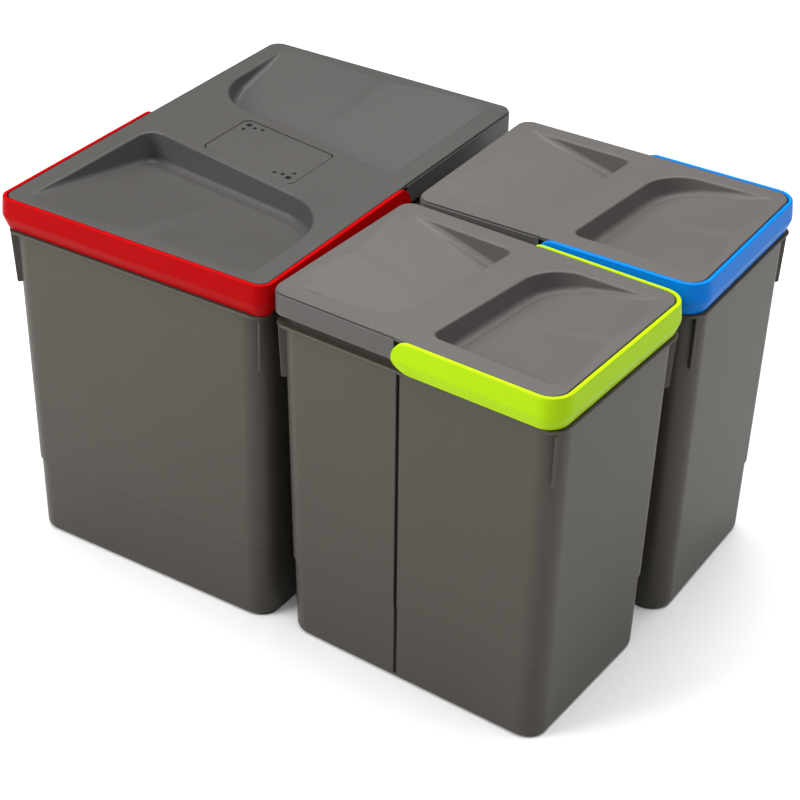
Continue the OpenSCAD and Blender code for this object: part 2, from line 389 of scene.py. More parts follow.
Materials = dict[Finish, bpy.types.Material]
DYE = {"roughness": 0.35, "grain": 0.000012, "mottle": 0.03}
RECIPES: dict[Finish, MouldedPlastic | Felt] = {
    # The container is painted darker towards the floor, as shade near its base.
    Finish.CONTAINER: MouldedPlastic(
        "container_plastic", (0.0555, 0.0485, 0.0385), 0.42, foot_shade=0.82
    ),
    # One lid plastic: painted shade on the large lid's copy, painted light on the small lids' copy.
    Finish.LARGE_LID: MouldedPlastic("large_lid_plastic", (0.053, 0.0505, 0.048), 0.42),
    Finish.SMALL_LID: MouldedPlastic("small_lid_plastic", (0.075, 0.070, 0.067), 0.45),
    Finish.RED: MouldedPlastic("red_plastic", (0.32, 0.0005, 0.0015), specular=0.03, **DYE),
    Finish.GREEN: MouldedPlastic("green_plastic", (0.33, 0.54, 0.003), specular=0.05, **DYE),
    Finish.BLUE: MouldedPlastic("blue_plastic", (0.001, 0.150, 0.55), specular=0.05, **DYE),
    Finish.FELT: Felt(),
}


# ---------------------------------------------------------------------------------------------
# Outlines and meshes
# ---------------------------------------------------------------------------------------------


@dataclass(frozen=True)
class Corner:
    """A corner of an outline: its place and the radius that rounds it."""

    x: float
    y: float
    radius: float = 0.0


@dataclass(frozen=True)
class Outline:
    """A closed outline with rounded corners, anticlockwise.

    Attributes:
        corners: The sharp corners and their radii.
        steps: Segments in each corner's arc.
        along: Segments in each straight side.
    """

    corners: tuple[Corner, ...]
    steps: int = 10
    along: int = 1

    least_radius = 0.02

    @staticmethod
    def slanted(x: float, y: float, fall: float, radius: float, steps: int) -> Outline:
        """A centred four-sided outline whose long sides fall as x grows.

        Args:
            x: Half its length.
            y: Half its width.
            fall: Fall of the long sides for each millimetre along them.
            radius: Radius of the corners.
            steps: Segments in each corner's arc.

        Returns:
            The outline, from the corner at low x and low y.
        """
        ends = [(-x, -y), (x, -y), (x, y), (-x, y)]
        return Outline(tuple(Corner(px, py - fall * px, radius) for px, py in ends), steps)

    def inset(self, by: float | Sequence[float]) -> Outline:
        """Move every side inwards.

        Args:
            by: One distance, or one for each side that starts at a corner.

        Returns:
            The smaller outline, with radii that keep the arcs concentric.
        """
        count = len(self.corners)
        shifts = [by] * count if isinstance(by, (int, float)) else list(by)
        points = [Vector((c.x, c.y)) for c in self.corners]
        ways = [(points[(i + 1) % count] - points[i]).normalized() for i in range(count)]
        moved = []
        for i, corner in enumerate(self.corners):
            before, after = ways[i - 1], ways[i]
            turn = before.x * after.y - before.y * after.x
            in_before = Vector((-before.y, before.x))
            in_after = Vector((-after.y, after.x))
            if abs(turn) < 1e-6:
                place = points[i] + in_after * shifts[i]
                moved.append(Corner(place.x, place.y, corner.radius))
                continue
            a, b = points[i] + in_before * shifts[i - 1], points[i] + in_after * shifts[i]
            gap = b - a
            reach = (gap.x * after.y - gap.y * after.x) / turn
            place = a + before * reach
            change = (shifts[i - 1] + shifts[i]) / 2
            radius = 0.0
            if corner.radius > 0:
                radius = max(corner.radius - math.copysign(change, turn), self.least_radius)
            moved.append(Corner(place.x, place.y, radius))
        return Outline(tuple(moved), self.steps, self.along)

    def samples(self) -> list[tuple[Vector, Vector]]:
        """Points round the outline, each with its inward unit normal."""
        count = len(self.corners)
        points = [Vector((c.x, c.y)) for c in self.corners]
        arcs: list[list[tuple[Vector, Vector]]] = []
        for i, corner in enumerate(self.corners):
            before = (points[i] - points[i - 1]).normalized()
            after = (points[(i + 1) % count] - points[i]).normalized()
            turn = math.atan2(before.x * after.y - before.y * after.x, before.dot(after))
            tangent = corner.radius * abs(math.tan(turn / 2))
            start = points[i] - before * tangent
            inward = Vector((-before.y, before.x))
            centre = start + inward * math.copysign(corner.radius, turn)
            arc = []
            for k in range(self.steps + 1):
                turned = Matrix.Rotation(turn * k / self.steps, 2)
                normal = turned @ inward
                arc.append((centre - normal * math.copysign(corner.radius, turn), normal))
            arcs.append(arc)
        ring: list[tuple[Vector, Vector]] = []
        for i, arc in enumerate(arcs):
            ring += arc
            (start, n0), (end, n1) = arc[-1], arcs[(i + 1) % count][0]
            for k in range(1, self.along):
                share = k / self.along
                ring.append((start.lerp(end, share), n0.lerp(n1, share).normalized()))
        return ring

    def ring(self, z: float) -> list[Point3]:
        """The outline's points at a height."""
        return [(p.x, p.y, z) for p, _ in self.samples()]


class Shell:
    """A mesh under construction, in millimetres."""

    def __init__(self) -> None:
        """Start empty."""
        self.mesh = bmesh.new()

    def ring(self, points: Iterable[Point3]) -> list[bmesh.types.BMVert]:
        """Add a ring of vertices."""
        return [self.mesh.verts.new(p) for p in points]

    def band(self, low: list[bmesh.types.BMVert], high: list[bmesh.types.BMVert]) -> None:
        """Join two rings of the same count with quads."""
        count = len(low)
        for i in range(count):
            j = (i + 1) % count
            self.mesh.faces.new((low[i], low[j], high[j], high[i]))

    def loft(self, rings: Iterable[Iterable[Point3]]) -> list[list[bmesh.types.BMVert]]:
        """Join rings one after another.

        Returns:
            The rings of vertices.
        """
        made = [self.ring(points) for points in rings]
        for low, high in zip(made, made[1:]):
            self.band(low, high)
        return made

    def capped(self, rings: Iterable[Iterable[Point3]]) -> None:
        """Join rings one after another and close both ends with one face each."""
        made = self.loft(rings)
        for end in (made[0], made[-1]):
            self.mesh.faces.new(end)

    def fill(self, loops: Sequence[list[bmesh.types.BMVert]]) -> None:
        """Fill a flat face bounded by one outer loop and any holes, with triangles."""
        edges = []
        for loop in loops:
            for i, vert in enumerate(loop):
                other = loop[(i + 1) % len(loop)]
                edge = self.mesh.edges.get((vert, other)) or self.mesh.edges.new((vert, other))
                edges.append(edge)
        bmesh.ops.triangle_fill(self.mesh, use_beauty=True, edges=edges)

    def close_flat(self, z: float) -> None:
        """Fill the flat face that the open edges at a height bound, round its holes."""
        edges = [e for e in self.mesh.edges if e.is_boundary]
        level = [e for e in edges if all(abs(v.co.z - z) < 1e-4 for v in e.verts)]
        bmesh.ops.triangle_fill(self.mesh, use_beauty=True, edges=level)

    def merge(self) -> None:
        """Merge doubled points."""
        bmesh.ops.remove_doubles(self.mesh, verts=self.mesh.verts, dist=WELD)

    def weld(self) -> None:
        """Merge doubled points, drop faces of no area and turn all faces outwards."""
        self.merge()
        bmesh.ops.dissolve_degenerate(self.mesh, edges=self.mesh.edges, dist=WELD)
        bmesh.ops.recalc_face_normals(self.mesh, faces=self.mesh.faces)

    def drop(self, wanted: Callable[[Vector], bool]) -> None:
        """Delete the faces whose middle answers yes."""
        faces = [f for f in self.mesh.faces if wanted(f.calc_center_median())]
        bmesh.ops.delete(self.mesh, geom=faces, context="FACES")

    def finished(self, name: str) -> bpy.types.Object:
        """Turn the mesh into a scene object, still in millimetres."""
        data = bpy.data.meshes.new(name)
        self.mesh.to_mesh(data)
        self.mesh.free()
        data.polygons.foreach_set("use_smooth", [True] * len(data.polygons))
        return linked(name, data)


def linked(name: str, data: bpy.types.ID) -> bpy.types.Object:
    """A new object in the scene that shows a mesh, a light or a camera."""
    made = bpy.data.objects.new(name, data)
    bpy.context.scene.collection.objects.link(made)
    return made


def applied(piece: bpy.types.Object) -> bpy.types.Object:
    """Bake a piece's modifiers into its mesh."""
    bpy.context.view_layer.update()
    evaluated = piece.evaluated_get(bpy.context.evaluated_depsgraph_get())
    data = bpy.data.meshes.new_from_object(evaluated)
    piece.modifiers.clear()
    old = piece.data
    piece.data = data
    bpy.data.meshes.remove(old)
    return piece


def crisp(piece: bpy.types.Object, angle: float = 38.0) -> bpy.types.Object:
    """Mark edges sharper than an angle and weigh the normals by face area."""
    piece.data.polygons.foreach_set("use_smooth", [True] * len(piece.data.polygons))
    piece.data.set_sharp_from_angle(angle=math.radians(angle))
    weighted = piece.modifiers.new("weighted", "WEIGHTED_NORMAL")
    weighted.keep_sharp = True
    weighted.weight = 80
    return applied(piece)


def quarter(radius: float, steps: int) -> list[Point2]:
    """A quarter round, as distances in from a wall and down from a top, wall end first."""
    angles = [math.pi / 2 * k / steps for k in range(steps + 1)]
    return [(radius * (1 - math.cos(a)), radius * (1 - math.sin(a))) for a in angles]


def circle(radius: float, steps: int = 32) -> list[Point2]:
    """Points round a circle, anticlockwise."""
    angles = [2 * math.pi * k / steps for k in range(steps)]
    return [(radius * math.cos(a), radius * math.sin(a)) for a in angles]


@dataclass(frozen=True)
class Placing:
    """Where a bin stands, in millimetres, and its turn in degrees."""

    x: float
    y: float
    turn: float

    def matrix(self) -> Matrix:
        """From the bin's own millimetres to the shared frame's metres."""
        move = Matrix.Translation(Vector((self.x, self.y, 0)) * MM)
        return move @ Matrix.Rotation(math.radians(self.turn), 4, "Z") @ Matrix.Scale(MM, 4)


# ---------------------------------------------------------------------------------------------
# Geometry Nodes
# ---------------------------------------------------------------------------------------------


class Pattern(Tree):
    """A Geometry Nodes tree built in code, with named inputs."""

    def __init__(self, name: str) -> None:
        """Start a tree that takes and gives one geometry."""
        super().__init__(bpy.data.node_groups.new(name, "GeometryNodeTree"))
        self.inputs: dict[str, str] = {}
        self.add_input("Geometry", "NodeSocketGeometry")
        self.tree.interface.new_socket(
            "Geometry", in_out="OUTPUT", socket_type="NodeSocketGeometry"
        )
        self.start = self.tree.nodes.new("NodeGroupInput")
        self.end = self.tree.nodes.new("NodeGroupOutput")

    def add_input(self, name: str, kind: str) -> None:
        """Add a named input and remember its identifier."""
        socket = self.tree.interface.new_socket(name, in_out="INPUT", socket_type=kind)
        self.inputs[name] = socket.identifier

    def finish(self, geometry: bpy.types.NodeSocket, material: bpy.types.Material) -> None:
        """Realize the instances, set the material and close the tree."""
        real = self.node("GeometryNodeRealizeInstances", None, {0: geometry}).outputs[0]
        dressed = self.node("GeometryNodeSetMaterial", None, {0: real, 2: material}).outputs[0]
        self.tree.links.new(dressed, self.end.inputs[0])

    def apply(self, piece: bpy.types.Object, values: dict[str, object]) -> bpy.types.Object:
        """Run the tree on a piece and keep the plain mesh."""
        modifier = piece.modifiers.new(self.tree.name, "NODES")
        modifier.node_group = self.tree
        for name, value in values.items():
            modifier[self.inputs[name]] = value
        return applied(piece)


def instanced_on_points(name: str, material: bpy.types.Material, carve: bool) -> Pattern:
    """A tree that puts one piece on each point of a second mesh, turned and scaled by attributes.

    Args:
        name: The tree's name.
        material: The finish of the result.
        carve: Whether the copies are cut out of the geometry, or added to it.

    Returns:
        The tree. The points carry "turn" in radians and "size" as a factor.
    """
    pattern = Pattern(name)
    pattern.add_input("Points", "NodeSocketObject")
    pattern.add_input("Copy", "NodeSocketObject")
    start = pattern.start.outputs
    points, copy = (
        pattern.node("GeometryNodeObjectInfo", None, {0: start[key]}).outputs["Geometry"]
        for key in ("Points", "Copy")
    )
    turn, size = (
        pattern.node(
            "GeometryNodeInputNamedAttribute", {"data_type": "FLOAT"}, {"Name": key}
        ).outputs[0]
        for key in ("turn", "size")
    )
    rotation = pattern.node("ShaderNodeCombineXYZ", None, {"Z": turn})
    scale = pattern.node("ShaderNodeCombineXYZ", None, {"X": size, "Y": size, "Z": 1.0})
    dots = pattern.node("GeometryNodeMeshToPoints", None, {0: points}).outputs[0]
    copies = pattern.node(
        "GeometryNodeInstanceOnPoints",
        None,
        {
            "Points": dots,
            "Instance": copy,
            "Rotation": rotation.outputs[0],
            "Scale": scale.outputs[0],
        },
    ).outputs[0]
    if carve:
        real = pattern.node("GeometryNodeRealizeInstances", None, {0: copies}).outputs[0]
        result = pattern.node(
            "GeometryNodeMeshBoolean",
            {"operation": "DIFFERENCE", "solver": "EXACT"},
            {"Mesh 1": start["Geometry"], "Mesh 2": real},
        ).outputs[0]
    else:
        join = pattern.node("GeometryNodeJoinGeometry")
        pattern.tree.links.new(start["Geometry"], join.inputs[0])
        pattern.tree.links.new(copies, join.inputs[0])
        result = join.outputs[0]
    pattern.finish(result, material)
    return pattern


def dotted(name: str, spots: Sequence[Spot]) -> bpy.types.Object:
    """A mesh of loose points that carry a turn and a size for each copy."""
    data = bpy.data.meshes.new(name)
    data.from_pydata([place for place, _, _ in spots], [], [])
    for key, index in (("turn", 1), ("size", 2)):
        attribute = data.attributes.new(key, "FLOAT", "POINT")
        attribute.data.foreach_set("value", [spot[index] for spot in spots])
    return linked(name, data)


def scattered(
    piece: bpy.types.Object,
    copy: bpy.types.Object,
    spots: Sequence[Spot],
    material: bpy.types.Material,
    carve: bool,
) -> bpy.types.Object:
    """Add copies of a small piece to a piece, or cut them out of it, and drop the helpers.

    Args:
        piece: The piece that the copies go on.
        copy: The small piece, removed afterwards.
        spots: A place, a turn in radians and a size for each copy.
        material: The finish of the result.
        carve: Whether the copies are cut out of the piece, or added to it.

    Returns:
        The piece, as a plain mesh.
    """
    points = dotted(piece.name + "_points", spots)
    tree = instanced_on_points(piece.name + "_pattern", material, carve)
    done = tree.apply(piece, {"Points": points, "Copy": copy})
    for helper in (points, copy):
        bpy.data.objects.remove(helper)
    return done


# ---------------------------------------------------------------------------------------------
# The pieces of a bin
# ---------------------------------------------------------------------------------------------


@dataclass
class Piece:
    """What every piece of a bin shares, in millimetres.

    Attributes:
        width: Bin outline along its handle bar.
        depth: Bin outline from the handle bar to the back.
        height: Height of the closed bin.
        handle_h: Height of the handle strip.
        bay: Room beside the lid for the handle.
        corner: Plan radius of the lid's and the handle's corners.
    """

    width: float
    depth: float
    height: float = 266.0
    handle_h: float = 22.5
    bay: float = 4.2
    corner: float = 10.0

    @property
    def pivot_z(self) -> float:
        """Height of the handle's pivot."""
        return self.height - self.handle_h / 2

    def turned(self, profile: Sequence[Point2], side: int, steps: int = 32) -> list[list[Point3]]:
        """Rings of a round shape about the pivot.

        Args:
            profile: Pairs of a distance from the bin's middle and a radius.
            side: 1 for the right-hand pivot, -1 for the left.
            steps: Segments in each ring.

        Returns:
            A ring for each pair.
        """
        return [
            [(side * x, across, self.pivot_z + up) for across, up in circle(radius, steps)]
            for x, radius in profile
        ]


@dataclass
class Container(Piece):
    """The tub: stepped plinth, drafted walls, rolled rim, collar, side channels and corner fins.

    Attributes:
        lean: How much further the walls stand in at the foot than at the rim.
        wall: Thickness of the walls.
        floor: Thickness of the floor.
        body_corner: Plan radius of the walls' corners.
        wall_inset: How far the wall's head stands in from the bin outline.
        foot_round: Radius between the walls and the foot.
        plinth: Height of the plinth's top.
        plinth_step: How far the plinth stands in.
        plinth_rise: Height over which the wall steps in to the plinth.
        rim_drop: Depth of the rim's top face below the closed bin's top.
        rim_t: Thickness of the rim.
        rim_inset: How far the rim's edge stands in from the bin outline.
        rim_flare: How far the wall turns out under the rim.
        collar_out: How far the collar's outside stands in from the bin outline.
        collar_t: Thickness of the collar.
        collar_drop: Depth of the collar's top below the closed bin's top.
        collar_round: Radius of the collar's upper edges.
        channel_y: Place of the side channels, from the bin's middle to the back.
        channel_w: Width of the side channels.
        channel_depth: Depth of the side channels at the foot.
        channel_lead: Bevel of the channels' edges.
        fin_drop: Depth of the fins' lower ends below the closed bin's top.
        fin_t: Thickness of the fins.
        fin_lean: How much further the fins stand in at their lower ends.
        bore: Radius of the pivot bores.
        boss: Radius of the boss round each bore.
        boss_t: How far the bosses stand in from the collar.
        arc_steps: Segments in each corner.
    """

    lean: float = 1.1
    wall: float = 2.0
    floor: float = 2.4
    body_corner: float = 15.0
    wall_inset: float = 2.7
    foot_round: float = 4.0
    plinth: float = 60.0
    plinth_step: float = 0.8
    plinth_rise: float = 0.8
    rim_drop: float = 23.4
    rim_t: float = 2.1
    rim_inset: float = 0.5
    rim_flare: float = 1.0
    collar_out: float = 6.1
    collar_t: float = 2.0
    collar_drop: float = 2.4
    collar_round: float = 0.5
    channel_y: float = 10.0
    channel_w: float = 2.3
    channel_depth: float = 1.6
    channel_lead: float = 0.35
    fin_drop: float = 64.0
    fin_t: float = 1.8
    fin_lean: float = 1.6
    bore: float = 3.05
    boss: float = 5.4
    boss_t: float = 1.2
    arc_steps: int = 16

    @property
    def lip_z(self) -> float:
        """Height of the rim's top face."""
        return self.height - self.rim_drop

    @property
    def ledge_z(self) -> float:
        """Height of the rim's underside."""
        return self.lip_z - self.rim_t

    @property
    def foot_inset(self) -> float:
        """How far the wall stands in just above the foot."""
        return self.wall_inset + self.lean + self.plinth_step

    def wall_at(self, z: float) -> float:
        """How far the outer wall stands in at a height."""
        share = min(1.0, max(0.0, (self.plinth - z) / self.plinth_rise))
        drafted = self.wall_inset + self.lean * (self.ledge_z - z) / self.ledge_z
        return drafted + self.plinth_step * share

    def section(self, inset: float, radius: float, z: float, channel: float = 0.0) -> list[Point3]:
        """One ring of the tub, with the two side channels as notches.

        Args:
            inset: Distance in from the bin outline.
            radius: Plan radius of the corners.
            z: Height.
            channel: Depth of the notch.

        Returns:
            The ring's points, anticlockwise, of the same count at every level.
        """
        hx, hy = self.width / 2 - inset, self.depth / 2 - inset
        near, far = self.channel_y - self.channel_w / 2, self.channel_y + self.channel_w / 2
        lead = min(self.channel_lead, channel)
        notch = [
            (hx, near - lead),
            (hx - lead, near),
            (hx - channel, near),
            (hx - channel, far),
            (hx - lead, far),
            (hx, far + lead),
        ]
        points: list[Point2] = []
        for k, (sx, sy) in enumerate(QUARTERS):
            if k == 0:
                points += notch
            if k == 2:
                points += [(-x, y) for x, y in reversed(notch)]
            for i in range(self.arc_steps + 1):
                angle = math.radians(90 * k + 90 * i / self.arc_steps)
                cx, cy = sx * (hx - radius), sy * (hy - radius)
                points.append((cx + radius * math.cos(angle), cy + radius * math.sin(angle)))
        return [(x, y, z) for x, y in points]

    def outer(self) -> list[list[Point3]]:
        """Rings from the middle of the foot up the outside to the rim's underside."""
        channel_plane = self.foot_inset + self.channel_depth
        rings = []
        for inward, z in reversed(quarter(self.foot_round, 8)):
            rings.append(self.section(self.foot_inset + inward, self.body_corner, z))
        step = (-1.3, -1.0, -0.85, -0.15, 0.0, 0.3)
        heights = [self.foot_round + 0.4, 20.0, 40.0]
        heights += [self.plinth + self.plinth_rise * share for share in step]
        heights += [self.plinth + 2.0, 90.0, 130.0, 170.0, 205.0, self.ledge_z - 1.2]
        for z in heights:
            inset = self.wall_at(z)
            rings.append(self.section(inset, self.body_corner, z, max(0.0, channel_plane - inset)))
        return rings

    def rim(self) -> list[list[Point3]]:
        """Rings of the rolled rim, from the wall's head to the foot of the collar."""
        head = self.corner + 1
        roll = self.rim_t / 2 - 0.05
        rings = []
        for k in range(5):
            share = k / 4
            angle = math.pi / 2 * share
            inset = self.wall_inset - self.rim_flare * (1 - math.cos(angle))
            z = self.ledge_z - self.rim_flare * (1 - math.sin(angle))
            rings.append(self.section(inset, self.body_corner * (1 - share) + head * share, z))
        for k in range(9):
            angle = -math.pi / 2 + math.pi * k / 8
            inset = self.rim_inset + roll * (1 - math.cos(angle))
            z = (self.ledge_z + self.lip_z) / 2 + self.rim_t / 2 * math.sin(angle)
            rings.append(self.section(inset, self.corner, z))
        return rings

    def collar(self) -> list[list[Point3]]:
        """Rings up the collar, over its top and down to the rim's underside inside."""
        top = self.height - self.collar_drop
        outer, inner = self.collar_out, self.collar_out + self.collar_t
        turn, halfway = self.collar_round, self.collar_round * 0.3
        levels = [(outer - 0.8, self.lip_z), (outer - 0.2, self.lip_z + 0.25)]
        levels += [(outer, self.lip_z + 0.9), (outer, top - turn)]
        levels += [(outer + halfway, top - halfway), (outer + turn, top)]
        levels += [(inner - turn, top), (inner - halfway, top - halfway), (inner, top - turn)]
        levels += [(inner, self.ledge_z + 0.4), (inner - 0.4, self.ledge_z)]
        return [self.section(inset, self.corner, z) for inset, z in levels]

    def inner(self) -> list[list[Point3]]:
        """Rings down the inside, clear of the side channels, to the middle of the floor."""
        radius = self.body_corner - self.wall
        plane = self.foot_inset + self.channel_depth + self.wall
        rings = []
        low = self.floor + self.foot_round + 0.5
        for z in (self.ledge_z, self.ledge_z - 0.6, 170.0, 90.0, low):
            share = (self.ledge_z - z) / self.ledge_z
            inset = self.wall_inset + self.wall + (self.lean + self.plinth_step) * share
            rings.append(self.ribbed(inset, radius, z, max(0.0, plane - inset)))
        foot = self.foot_inset + self.wall
        for inward, down in quarter(self.foot_round, 6):
            rib = max(0.0, plane - foot - inward)
            rings.append(self.ribbed(foot + inward, radius, self.floor + down, rib))
        return rings

    def ribbed(self, inset: float, radius: float, z: float, rib: float) -> list[Point3]:
        """One ring of the inside, with a rib over each side channel."""
        wide = replace(self, channel_w=self.channel_w + 2 * self.wall)
        return wide.section(inset, radius, z, rib)

    def fin(self) -> bpy.types.Object:
        """One corner fin, with X outwards along the diagonal from the bin's corner."""

        def depth(inset: float, radius: float) -> float:
            """Distance along the diagonal from a sharp corner to a rounded one that stands in."""
            return inset * math.sqrt(2) + radius * (math.sqrt(2) - 1)

        tip = -depth(self.rim_inset, self.corner) - 0.4
        root = -depth(self.wall_inset, self.body_corner) - 1.2
        low, high = self.height - self.fin_drop, self.ledge_z + 0.2
        foot = tip - self.fin_lean
        outline = [
            (root, high),
            (root, low),
            (foot - 1.2, low),
            (foot - 0.3, low + 0.35),
            (foot, low + 1.2),
            (tip, high),
        ]
        shell = Shell()
        faces = (-self.fin_t / 2, self.fin_t / 2)
        shell.capped([[(x, y, z) for x, z in outline] for y in faces])
        shell.weld()
        fin = shell.finished("fin")
        bevel = fin.modifiers.new("soft", "BEVEL")
        bevel.width = 0.45
        bevel.segments = 3
        return applied(fin)

    def build(self, name: str, material: bpy.types.Material) -> bpy.types.Object:
        """Make the tub as one closed shell, with its pivot bores and fins."""
        shell = Shell()
        shell.capped(self.outer() + self.rim() + self.collar() + self.inner())
        shell.weld()
        tub = shell.finished(name)
        inner = self.width / 2 - self.collar_out - self.collar_t
        boss = [(inner - self.boss_t, self.boss), (inner + self.collar_t / 2, self.boss)]
        bore = [(inner - self.boss_t - 2.0, self.bore), (inner + self.collar_t + 1.0, self.bore)]
        for side in (-1, 1):
            combined(tub, "UNION", self.turned(boss, side, 40))
            combined(tub, "DIFFERENCE", self.turned(bore, side, 40))
        spots = []
        for k, (sx, sy) in enumerate(QUARTERS):
            place = (sx * self.width / 2, sy * self.depth / 2, 0.0)
            spots.append((place, math.radians(45 + 90 * k), 1.0))
        return crisp(scattered(tub, self.fin(), spots, material, carve=False), 34)


def combined(piece: bpy.types.Object, operation: str, rings: list[list[Point3]]) -> None:
    """Add a closed shape to a piece, or cut it out.

    Args:
        piece: The piece.
        operation: The Boolean modifier's operation.
        rings: The shape's rings, closed at both ends.
    """
    shell = Shell()
    shell.capped(rings)
    shell.weld()
    tool = shell.finished("tool")
    cut = piece.modifiers.new("combined", "BOOLEAN")
    cut.operation = operation
    cut.solver = "EXACT"
    cut.object = tool
    applied(piece)
    bpy.data.objects.remove(tool)


@dataclass
class Handle(Piece):
    """The bail: a ridged strip that runs round the bar side, with round ends and pivot studs.

    Attributes:
        strip: Thickness of the strip at its upper edge.
        arm_out: How far the arms stand out from the bin outline.
        bar_in: How far the bar stands in from the bin outline.
        ridge_out: How far the ridge stands out from the upper edge.
        ridge_drop: Depth of the ridge below the upper edge.
        ridge_soft: How softly the ridge turns.
        foot_in: How far the lower edge stands in from the upper edge.
        least: Least thickness of the strip.
        stud: Radius of the pivot studs.
        stud_end: How far the studs' ends stand in from the bin outline.
        soft: Radius of the outer edges.
        inner_soft: Most that the inner edges are drawn out.
        rows: Segments up each face.
        end_steps: Segments in each round end and in each corner.
    """

    strip: float = 2.8
    arm_out: float = 2.7
    bar_in: float = 0.4
    ridge_out: float = 1.4
    ridge_drop: float = 13.2
    ridge_soft: float = 1.5
    foot_in: float = 2.1
    least: float = 0.6
    stud: float = 3.0
    stud_end: float = 9.3
    soft: float = 0.7
    inner_soft: float = 0.35
    rows: int = 30
    end_steps: int = 16

    @property
    def half(self) -> float:
        """Half the strip's height, which is the radius of its ends."""
        return self.handle_h / 2

    def face(self, z: float) -> float:
        """How far the outer face stands out at a height from the strip's middle."""
        ridge = self.half - self.ridge_drop
        upper = self.ridge_out - self.ridge_out * (z - ridge) / (self.half - ridge)
        fall = (self.foot_in + self.ridge_out) / (self.half + ridge)
        lower = self.ridge_out - fall * (ridge - z)
        return (upper + lower - math.sqrt((upper - lower) ** 2 + self.ridge_soft**2 * 0.12)) / 2

    def rounding(self, distance: float) -> float:
        """How far an edge's rounding draws the face in, at a distance from the edge."""
        share = max(0.0, 1 - distance / self.soft)
        return self.soft * (1 - math.sqrt(max(0.0, 1 - share * share)))

    def stations(self) -> list[tuple[Vector, Vector, float]]:
        """Places along the strip.

        Returns:
            A point of the outline, its outward normal and the distance past the pivot, for each.
        """
        hx, hy = self.width / 2 + self.arm_out, self.depth / 2 - self.bar_in
        right: list[tuple[Vector, Vector, float]] = []
        for k in range(self.end_steps + 1):
            past = self.half * math.cos(math.pi / 2 * k / self.end_steps)
            right.append((Vector((hx, past)), Vector((1, 0)), past))
        for k in range(1, 4):
            right.append((Vector((hx, -(hy - self.corner) * k / 4)), Vector((1, 0)), 0.0))
        for k in range(self.end_steps + 1):
            angle = -math.pi / 2 * k / self.end_steps
            normal = Vector((math.cos(angle), math.sin(angle)))
            centre = Vector((hx - self.corner, -(hy - self.corner)))
            right.append((centre + normal * self.corner, normal, 0.0))
        left = [(Vector((-p.x, p.y)), Vector((-n.x, n.y)), past) for p, n, past in reversed(right)]
        return right + left

    def loop(self, point: Vector, normal: Vector, past: float) -> list[Point3]:
        """The strip's section at one station, as a closed loop."""
        reach = math.sqrt(max(0.0, self.half**2 - past**2))
        shares = [math.sin(math.pi / 2 * (2 * k / self.rows - 1)) for k in range(self.rows + 1)]
        outer, inner = [], []
        for share in shares:
            z = reach * share
            edge = self.half - math.hypot(past, z) if past > 0 else self.half - abs(z)
            draw = self.rounding(edge)
            outer.append((max(self.face(z) - draw, self.least - self.strip), z))
            inner.append((min(self.inner_soft, draw * 0.5) - self.strip, z))
        places = [(point + normal * out, z) for out, z in outer + inner[::-1]]
        return [(place.x, place.y, self.pivot_z + z) for place, z in places]

    def build(self, name: str) -> bpy.types.Object:
        """Make the strip as one closed shell with its two studs."""
        shell = Shell()
        shell.loft([self.loop(*station) for station in self.stations()])
        tip = self.width / 2 - self.stud_end
        profile = [
            (self.width / 2 + self.arm_out - self.strip / 2, self.stud),
            (tip + 0.5, self.stud),
            (tip + 0.15, self.stud - 0.15),
            (tip, self.stud - 0.5),
        ]
        for side in (-1, 1):
            shell.capped(self.turned(profile, side))
        shell.weld()
        return crisp(shell.finished(name), 50)


